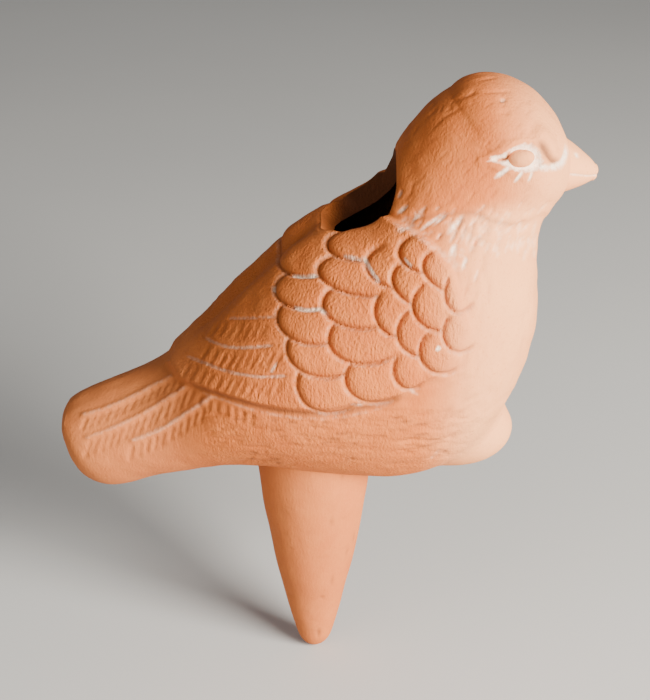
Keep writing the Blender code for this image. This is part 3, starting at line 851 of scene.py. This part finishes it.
def make_foot(skin):
    """The foot's own clay: the blended skin where it stands off the body, closed underneath."""
    rows, columns, _ = skin.points.shape
    keep = skin.foot > FOOT_START - 0.1
    used = keep[:-1, :-1] & keep[1:, :-1] & keep[:-1, 1:] & keep[1:, 1:]
    corner = np.array(grid_faces(rows, columns)).reshape(rows - 1, columns - 1, 4)[used]
    chosen, faces = np.unique(corner, return_inverse=True)
    faces = faces.reshape(-1, 4)
    top, floor = skin.foot_points.reshape(-1, 3)[chosen], skin.foot_floor.reshape(-1, 3)[chosen]
    count = len(chosen)
    halves = []
    for side, offset in ((1, 0), (-1, 2 * count)):
        turn = slice(None, None, side)
        halves += (faces + offset)[:, turn].tolist() + (faces + offset + count)[:, ::-side].tolist()
    points = np.vstack([top, floor, top * (1, -1, 1), floor * (1, -1, 1)])
    state = plain_state(4 * count, 0.15)
    foot = new_object("front_foot_skin", points, halves,
                      (*state[:3], np.tile(skin.bloom_and_highlight.ravel()[chosen], 4)))
    with edited(foot.data) as shape:
        bmesh.ops.remove_doubles(shape, verts=shape.verts, dist=1e-7)
        border = [edge for edge in shape.edges if len(edge.link_faces) == 1]
        bmesh.ops.bridge_loops(shape, edges=border)
        bmesh.ops.recalc_face_normals(shape, faces=shape.faces)
    foot.data.shade_smooth()
    return foot


def fan_faces(row_start, facets, pole):
    return [(row_start + i, row_start + (i + 1) % facets, pole) for i in range(facets)]


def closed_faces(rows, facets):
    """Rows of points closed by two poles, which come after them."""
    count = rows * facets
    return (wrapped_faces(rows, facets) + fan_faces(0, facets, count)
            + fan_faces(count - facets, facets, count + 1))


def smooth_piece(name, points, faces, state):
    piece = new_object(name, points, faces, state)
    fix_normals(piece.data)
    piece.data.shade_smooth()
    return piece


def turned_rows(profile, facets):
    """Rings about Z through a profile of (radius, height), with the normals of the turned form."""
    profile = np.asarray(profile, float)
    angle = np.linspace(0, 2 * math.pi, facets, endpoint=False)
    round_about = np.stack([np.cos(angle), np.sin(angle), 0 * angle], -1)
    place = profile[:, 0][:, None, None] * round_about[None]
    place[..., 2] = profile[:, 1][:, None]
    step = np.gradient(profile, axis=0)
    out = np.stack([-step[:, 1], step[:, 0]], -1)
    out /= np.linalg.norm(out, axis=1)[:, None] + 1e-12
    normal = out[:, 0][:, None, None] * round_about[None]
    normal[..., 2] = out[:, 1][:, None]
    return place, normal


# The soil spike, with the CAD spike's radius at each depth
SPIKE_RADIUS = 13.2
SPIKE_TAPER = 0.105
SPIKE_BELLY = 0.0018
SPIKE_LENGTH = 51.5
SPIKE_TIP_RADIUS = 4.3
TIP_START = math.radians(22.5)  # the rounded tip carries on from the cone at this angle
SPIKE_WALL = 3.6
SPIKE_TOP = 5.0                 # it ends inside the belly's wall
SPIKE_PITS = 80


def spike_radius(depth):
    return SPIKE_RADIUS - SPIKE_TAPER * depth - SPIKE_BELLY * depth * np.abs(depth)


def make_spike(facets=150):
    shoulder = SPIKE_LENGTH - SPIKE_TIP_RADIUS
    depths = np.linspace(-SPIKE_TOP, shoulder, 130)
    tip = np.linspace(TIP_START, math.radians(88), 16)[1:]
    radius, tip_radius = spike_radius(depths), spike_radius(shoulder) / math.cos(TIP_START)
    below = (np.sin(tip) - math.sin(TIP_START)) / (1 - math.sin(TIP_START))
    outside = np.vstack([np.stack([radius, -depths], -1), np.stack(
        [tip_radius * np.cos(tip), -shoulder - SPIKE_TIP_RADIUS * below], -1)])
    place, normal = turned_rows(outside, facets)
    around = np.arctan2(place[..., 1], place[..., 0])
    lift = 0.08 * unevenness(place, 13, 21) + 0.015 * unevenness(place * (1, 1, 0.25), 3, 22)
    dark = np.zeros(lift.shape)
    chance = np.random.default_rng(23)
    for _ in range(SPIKE_PITS):
        turn, height = chance.uniform(-math.pi, math.pi), chance.uniform(-49, 2)
        size, deep = chance.uniform(0.25, 0.55), chance.uniform(0.08, 0.3)
        sweep, rise = chance.choice((1.0, 3.5)), chance.choice((1.0, 2.5))
        side = (np.mod(around - turn + math.pi, 2 * math.pi) - math.pi) * spike_radius(-height)
        spot = np.exp(-((side / sweep) ** 2 + ((place[..., 2] - height) / rise) ** 2) / size ** 2)
        lift -= deep * spot / sweep
        # Painted shade in each pit
        dark = np.maximum(dark, 0.35 * spot / sweep)
    place = place + normal * lift[..., None]
    bore_depths = np.linspace(-SPIKE_TOP, shoulder - SPIKE_WALL, 12)
    bore, _ = turned_rows(np.stack([np.maximum(spike_radius(bore_depths) - SPIKE_WALL, 0.8),
                                    -bore_depths], -1), facets)
    rows, count, bore_count = len(place), place[..., 0].size, bore[..., 0].size
    points = np.vstack([place.reshape(-1, 3), bore.reshape(-1, 3), [(0, 0, -SPIKE_LENGTH)],
                        [(0, 0, -shoulder + SPIKE_WALL - 1)]])
    faces = wrapped_faces(rows, facets) + wrapped_faces(len(bore), facets, count)
    faces += fan_faces(count - facets, facets, count + bore_count)
    faces += fan_faces(count + bore_count - facets, facets, count + bore_count + 1)
    faces += [(i, (i + 1) % facets, count + (i + 1) % facets, count + i) for i in range(facets)]
    rest = bore_count + 2
    # The bore is darkened with painted shade, and the outside carries a little pale bloom, partly
    # painted highlight
    state = (np.zeros(dark.size + rest), np.append(dark.ravel(), np.full(rest, 0.7)),
             np.append(np.full(dark.size, 0.2), np.full(rest, 0.5)), np.full(dark.size + rest, 0.12))
    spike = smooth_piece("soil_spike_skin", points, faces, state)
    spike.data.set_sharp_from_angle(angle=math.radians(60))
    return spike


# The beak, a cone turned about its own line, with the CAD beak's distances and radii
BEAK_ROOT = np.array((49.6, 0.0, 72.7))
BEAK_DROOP = math.radians(10)
BEAK_PROFILE = ((0.0, 7.6), (3.0, 6.7), (5.5, 5.6), (8.0, 4.2), (10.0, 3.0), (11.3, 1.9))
BEAK_TIP = 12.2
MOUTH_DEPTH = 0.24
LOWER_BILL_SET_BACK = 0.22
NOSTRIL = (6.2, 38, 0.15)       # how far along, degrees from the top, and depth


def make_beak(facets=120):
    guide = line_points(BEAK_PROFILE, 14)
    angles = np.radians(np.linspace(0, 86, 10))[1:]
    last = BEAK_PROFILE[-1]
    nose = np.stack([last[0] + (BEAK_TIP - last[0]) * np.sin(angles), last[1] * np.cos(angles)], -1)
    line = np.vstack([guide, nose])
    place, normal = turned_rows(line[:, ::-1], facets)
    normal *= np.sign((normal[..., :2] * place[..., :2]).sum())
    along = place[..., 2]
    around = np.degrees(np.arctan2(np.abs(place[..., 1]), place[..., 0]))   # 0 is the top, 180 below
    radius = np.hypot(place[..., 0], place[..., 1])
    mouth = np.interp(along, (4.0, 5.0, 7.5, 10.3), (84, 85, 87, 92))
    off_mouth = np.radians(around - mouth) * radius
    ends = smooth_step((along - 3.4) / 1.5)
    slit = np.exp(-((off_mouth / 0.28) ** 2)) * ends
    off_nostril = np.radians(around - NOSTRIL[1]) * radius
    nostril = np.exp(-((along - NOSTRIL[0]) ** 2 + off_nostril ** 2) / 0.35)
    lift = 0.05 * unevenness(place, 6, 31) - MOUTH_DEPTH * slit - NOSTRIL[2] * nostril
    set_back = smooth_step(off_mouth / 0.5) * ends * smooth_step((BEAK_TIP - along) / 2)
    lift -= LOWER_BILL_SET_BACK * set_back
    place = place + normal * lift[..., None]
    count = place[..., 0].size
    points = np.vstack([place.reshape(-1, 3), [(0, 0, 0)], [(0, 0, BEAK_TIP)]])
    c, s = math.cos(BEAK_DROOP), math.sin(BEAK_DROOP)
    up, side, ahead = points[:, 0], points[:, 1], points[:, 2]
    points = BEAK_ROOT + np.stack([ahead * c + up * s, side, up * c - ahead * s], -1)
    # The whole beak carries the pale bloom, partly painted highlight
    state = (np.append(np.maximum(0.5 * slit, 0.8 * nostril).ravel(), (0, 0)), np.zeros(count + 2),
             np.full(count + 2, 0.15), np.ones(count + 2))
    return smooth_piece("beak_skin", points, closed_faces(len(place), facets), state)


# The eye, a flattened pellet
EYE_CENTRE = np.array((43.0, -16.8, 79.5))
EYE_SIZE = np.array((2.7, 1.5, 1.9))
EYE_PITCH = math.radians(-6)


def make_eye(side, name, facets=48, rows=24):
    """A flattened pellet of clay, pressed into the socket."""
    angle = np.linspace(0, math.pi, rows + 2)[1:-1]
    place, _ = turned_rows(np.stack([np.sin(angle), np.cos(angle)], -1), facets)
    lumps = 1 + 0.02 * unevenness(place, 1.3, 41)
    local = place[..., (0, 2, 1)] * EYE_SIZE * lumps[..., None]
    ends = np.array(((0, 0, 1.0), (0, 0, -1.0)))[:, (0, 2, 1)] * EYE_SIZE
    points = np.vstack([local.reshape(-1, 3), ends])
    c, s = math.cos(EYE_PITCH), math.sin(EYE_PITCH)
    points = np.stack([points[:, 0] * c + points[:, 2] * s, points[:, 1],
                       points[:, 2] * c - points[:, 0] * s], -1) + EYE_CENTRE
    points *= (1, -side, 1)
    # The pellet carries most of the pale bloom, partly painted highlight
    return smooth_piece(name, points, closed_faces(rows, facets), plain_state(len(points), 0.3, 0.9))


class Nodes:
    """Makes shader nodes: inputs are values or sockets to link."""

    def __init__(self, name):
        self.material = bpy.data.materials.new(name)
        self.material.use_nodes = True
        self.tree = self.material.node_tree
        self.shader = self.tree.nodes["Principled BSDF"]

    def add(self, kind, inputs=None, **settings):
        node = self.tree.nodes.new(kind)
        for key, value in settings.items():
            setattr(node, key, value)
        for key, value in (inputs or {}).items():
            self.put(node.inputs[key], value)
        return node

    def put(self, socket, value):
        if isinstance(value, bpy.types.NodeSocket):
            self.tree.links.new(value, socket)
        else:
            socket.default_value = value

    def noise(self, where, scale, detail=2.0, roughness=0.5):
        return self.add("ShaderNodeTexNoise", {"Vector": where, "Scale": scale, "Detail": detail,
                                               "Roughness": roughness}).outputs["Fac"]

    def band(self, value, low, high, to_low=0.0, to_high=1.0):
        """A clamped straight line from low to high."""
        return self.add("ShaderNodeMapRange", {"Value": value, "From Min": low, "From Max": high,
                                               "To Min": to_low, "To Max": to_high}).outputs["Result"]

    def maths(self, operation, a, b):
        return self.add("ShaderNodeMath", {0: a, 1: b}, operation=operation).outputs[0]

    def blend(self, share, a, b):
        node = self.add("ShaderNodeMix", data_type="RGBA")
        self.put(node.inputs[0], share)
        self.put(node.inputs[6], a)
        self.put(node.inputs[7], b)
        return node.outputs[2]


# Terracotta's own colour and its darker and lighter clouds, the pale bloom on the breast, which is
# partly painted highlight, the painted shade of hollows, and lime
CLAY = (0.55, 0.139, 0.023, 1.0)
DEEP_CLAY = (0.47, 0.107, 0.019, 1.0)
PALE_CLAY = (0.66, 0.204, 0.048, 1.0)
BLOOM_AND_HIGHLIGHT = (0.82, 0.350, 0.145, 1.0)
HOLLOW_SHADE = (0.11, 0.036, 0.015, 1.0)
WHITE_CRUST = (0.86, 0.66, 0.50, 1.0)
FLOOR_COLOURS = (0.47, 0.465, 0.455, 1), (0.51, 0.505, 0.495, 1)
BUMP_HEIGHT = 0.42 * MM


def terracotta(name, warmth=0.0, coarseness=1.0):
    """Unglazed fired clay: cloudy colour, fine grit, white crust in the grooves, painted shade in the
    hollows.
    """
    n = Nodes(name)
    where = n.add("ShaderNodeTexCoord").outputs["Object"]
    state = n.add("ShaderNodeAttribute", attribute_name="clay_state")
    parts = n.add("ShaderNodeSeparateColor", {"Color": state.outputs["Color"]})
    white, dark, grain = parts.outputs
    clouds = n.noise(where, 38.0, 3.0)
    mottle = n.noise(where, 240.0, 4.0, 0.65)
    grit = n.noise(where, 1500.0, 3.0, 0.6)
    specks = n.noise(where, 3100.0, 1.0)
    slant = n.add("ShaderNodeMapping", {"Vector": where, "Rotation": (0.3, math.radians(38), 0.0),
                                        "Scale": (1900.0, 1900.0, 520.0)}).outputs["Vector"]
    drag = n.noise(slant, 1.0, 2.0, 0.55)
    colour = n.blend(n.band(clouds, 0.35, 0.68, 0.25, 1.0), DEEP_CLAY, CLAY)
    colour = n.blend(n.band(mottle, 0.42, 0.80, 0.0, 0.40 + warmth), colour, PALE_CLAY)
    # Pale bloom, partly painted highlight on the lit breast and face
    bloom_and_highlight_share = n.maths("MULTIPLY", state.outputs["Alpha"], n.band(clouds, 0.3, 0.7, 0.75, 1.0))
    colour = n.blend(bloom_and_highlight_share, colour, BLOOM_AND_HIGHLIGHT)
    colour = n.blend(n.band(grit, 0.58, 0.72, 0.0, 0.30), colour, DEEP_CLAY)
    colour = n.blend(n.band(specks, 0.68, 0.76, 0.0, 0.45), colour, PALE_CLAY)
    # Painted shade: grooves, pits, the cut walls and the cavity are darkened by the dark channel
    colour = n.blend(n.maths("MULTIPLY", dark, 0.88), colour, HOLLOW_SHADE)
    patchy = n.band(n.noise(where, 900.0, 4.0, 0.65), 0.34, 0.60, 0.35, 1.0)
    crust = n.band(n.maths("MULTIPLY", white, patchy), 0.05, 0.65, 0.0, 0.92)
    colour = n.blend(crust, colour, WHITE_CRUST)
    n.put(n.shader.inputs["Base Color"], colour)
    rough = n.band(mottle, 0.3, 0.7, 0.78, 0.94)
    n.put(n.shader.inputs["Roughness"], rough)
    n.shader.inputs["Specular IOR Level"].default_value = 0.28
    fine = n.maths("MULTIPLY", n.maths("ADD", grit, n.maths("MULTIPLY", drag, 1.1)), grain)
    relief = n.maths("ADD", fine, n.maths("MULTIPLY", mottle, 0.35))
    relief = n.maths("ADD", relief, n.maths("MULTIPLY", specks, 0.12))
    bump = n.add("ShaderNodeBump", {"Height": relief, "Strength": 0.75,
                                    "Distance": BUMP_HEIGHT * coarseness})
    n.put(n.shader.inputs["Normal"], bump.outputs["Normal"])
    return n.material


def pale_floor_material():
    n = Nodes("pale_floor")
    where = n.add("ShaderNodeTexCoord").outputs["Object"]
    colour = n.blend(n.band(n.noise(where, 3.0, 4.0), 0.3, 0.7), *FLOOR_COLOURS)
    n.put(n.shader.inputs["Base Color"], colour)
    n.shader.inputs["Roughness"].default_value = 0.9
    return n.material


def finish_piece(thing, material, slot, *nodes):
    thing.data.materials.clear()
    thing.data.materials.append(material)
    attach(thing, "root")
    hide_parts(*nodes)


# The camera looks at the bird's right side, from as far above as the wing's plane leans back
VIEW_TARGET = Vector((2.6, 0.0, 28.2)) * MM
VIEW_DISTANCE = 390.0 * MM
VIEW_LENS = 88.25
# Soft square lights: direction from the object, distance and side in metres, watts and colour
LIGHTS = {
    "window_light": ((0.68, -0.64, 0.34), 0.75, 0.4, 27.0, (1.0, 0.96, 0.88)),
    "left_fill": ((-0.45, -0.65, 0.60), 1.0, 0.8, 2.5, (1.0, 0.98, 0.96)),
    "back_fill": ((-0.5, 0.8, 0.5), 1.1, 0.8, 0.4, (0.95, 0.97, 1.0)),
}
WORLD_COLOUR = (0.90, 0.92, 0.96, 1)
WORLD_STRENGTH = 0.17
FLOOR_HALF = 1.6                # metres


def make_camera():
    camera = linked("camera", bpy.data.cameras.new("camera"))
    camera.data.lens = VIEW_LENS
    camera.data.sensor_width = 36.0
    camera.data.clip_start = 0.02
    camera.location = VIEW_TARGET + Vector((0, -math.cos(TILT), math.sin(TILT))) * VIEW_DISTANCE
    camera.rotation_euler = (math.pi / 2 - TILT, 0, 0)
    bpy.context.scene.camera = camera


def add_light(name, towards, distance, size, power, colour):
    """A light that stands towards a direction from the object, and faces it."""
    lamp = bpy.data.lights.new(name, "AREA")
    lamp.size, lamp.energy, lamp.color = size, power, colour
    thing = linked(name, lamp)
    direction = Vector(towards).normalized()
    thing.location = VIEW_TARGET + direction * distance
    thing.rotation_euler = direction.to_track_quat("Z", "Y").to_euler()


def make_studio():
    for name, light in LIGHTS.items():
        add_light(name, *light)
    world = bpy.data.worlds.new("studio")
    world.use_nodes = True
    background = world.node_tree.nodes["Background"].inputs
    background["Color"].default_value = WORLD_COLOUR
    background["Strength"].default_value = WORLD_STRENGTH
    bpy.context.scene.world = world
    low, half = cad_box[0][2], FLOOR_HALF
    mesh = bpy.data.meshes.new("floor")
    mesh.from_pydata([(-half, -half, low), (half, -half, low), (half, half, low), (-half, half, low)],
                     [], [(0, 1, 2, 3)])
    floor = linked("floor", mesh)
    floor.data.materials.append(pale_floor_material())


def main():
    skin = Skin()
    body = terracotta("body_terracotta")
    right = half_shell(skin)
    cut_and_apply(right, [opening_cutter(), belly_hole_cutter()])
    tint_cut_walls(right.data)
    left = mirrored(right, "left_body_half_skin")
    for half, node in ((right, "right_body_half"), (left, "left_body_half")):
        seam_normals(half.data)
        finish_piece(half, body, "body_clay", node)
    finish_piece(make_foot(skin), terracotta("foot_terracotta", 0.1, 0.8), "foot_clay", "front_foot")
    finish_piece(make_spike(), terracotta("spike_terracotta", 0.0, 0.8), "spike_clay", "soil_spike")
    finish_piece(make_beak(), terracotta("beak_terracotta", 0.15, 0.7), "beak_clay", "beak")
    eye_clay = terracotta("eye_terracotta", -0.1, 0.8)
    for side, node in ((-1, "right_eye"), (1, "left_eye")):
        finish_piece(make_eye(side, node + "_pellet"), eye_clay, "eye_clay", node)
    make_camera()
    make_studio()


main()
